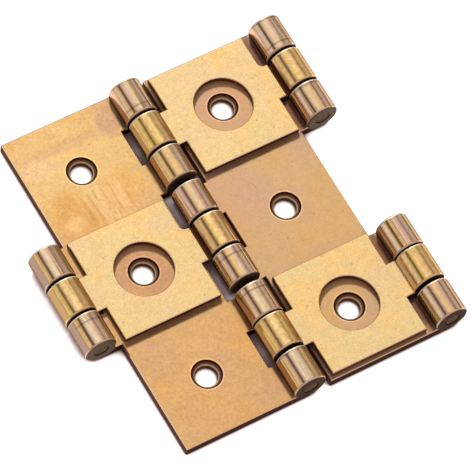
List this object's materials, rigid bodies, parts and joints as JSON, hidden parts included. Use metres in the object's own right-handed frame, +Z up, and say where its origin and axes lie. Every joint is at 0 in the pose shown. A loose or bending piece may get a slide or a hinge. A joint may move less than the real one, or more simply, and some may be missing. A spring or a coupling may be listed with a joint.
{
  "type": "screen hinge",
  "caption": "Flat double-action hinge for folding screens: a pair of narrow leaves joined by link plates on lines of pinned barrels, so panels fold either way.",
  "frame": {"origin": "bottom centre: midway between the leaves and midway along them, on the plane of their backs", "axes": "+X across the leaves to the right, +Y along the pins to the back, +Z up out of the leaves' fronts, as in the picture"},
  "size_m": [0.0576, 0.06, 0.0056],
  "materials": {
    "leaf_brass": "satin, rosy",
    "link_brass": "satin, pale gold",
    "pin_brass": "dull"
  },
  "bodies": {
    "left_leaf": {"left_leaf": "leaf_brass", "centre_back_pin": "pin_brass", "centre_front_pin": "pin_brass", "left_middle_pin": "pin_brass"},
    "right_leaf": {"right_leaf": "leaf_brass", "centre_middle_pin": "pin_brass", "right_back_pin": "pin_brass", "right_front_pin": "pin_brass"},
    "back_link": {"back_link": "link_brass"},
    "middle_link": {"middle_link": "link_brass"},
    "front_link": {"front_link": "link_brass"}
  },
  "joints": [
    {"name": "centre_fold", "type": "hinge", "parent": "left_leaf", "child": "back_link", "pos_m": [0, 0.0201, 0.0028], "axis": [0, -1, 0], "range_deg": [0, 180]},
    {"name": "front_link_fold", "type": "hinge", "parent": "left_leaf", "child": "front_link", "pos_m": [0, -0.0201, 0.0028], "axis": [0, -1, 0], "range_deg": [0, 180]},
    {"name": "outer_fold", "type": "hinge", "parent": "back_link", "child": "right_leaf", "pos_m": [0.026, 0.0201, 0.0028], "axis": [0, -1, 0], "range_deg": [0, 180]},
    {"name": "middle_link_fold", "type": "hinge", "parent": "left_leaf", "child": "middle_link", "pos_m": [-0.026, 0, 0.0028], "axis": [0, -1, 0], "range_deg": [0, 180]}
  ],
  "couplings": [
    {"joint": "front_link_fold", "follows": "centre_fold", "ratio": 1},
    {"joint": "middle_link_fold", "follows": "outer_fold", "ratio": 1}
  ]
}
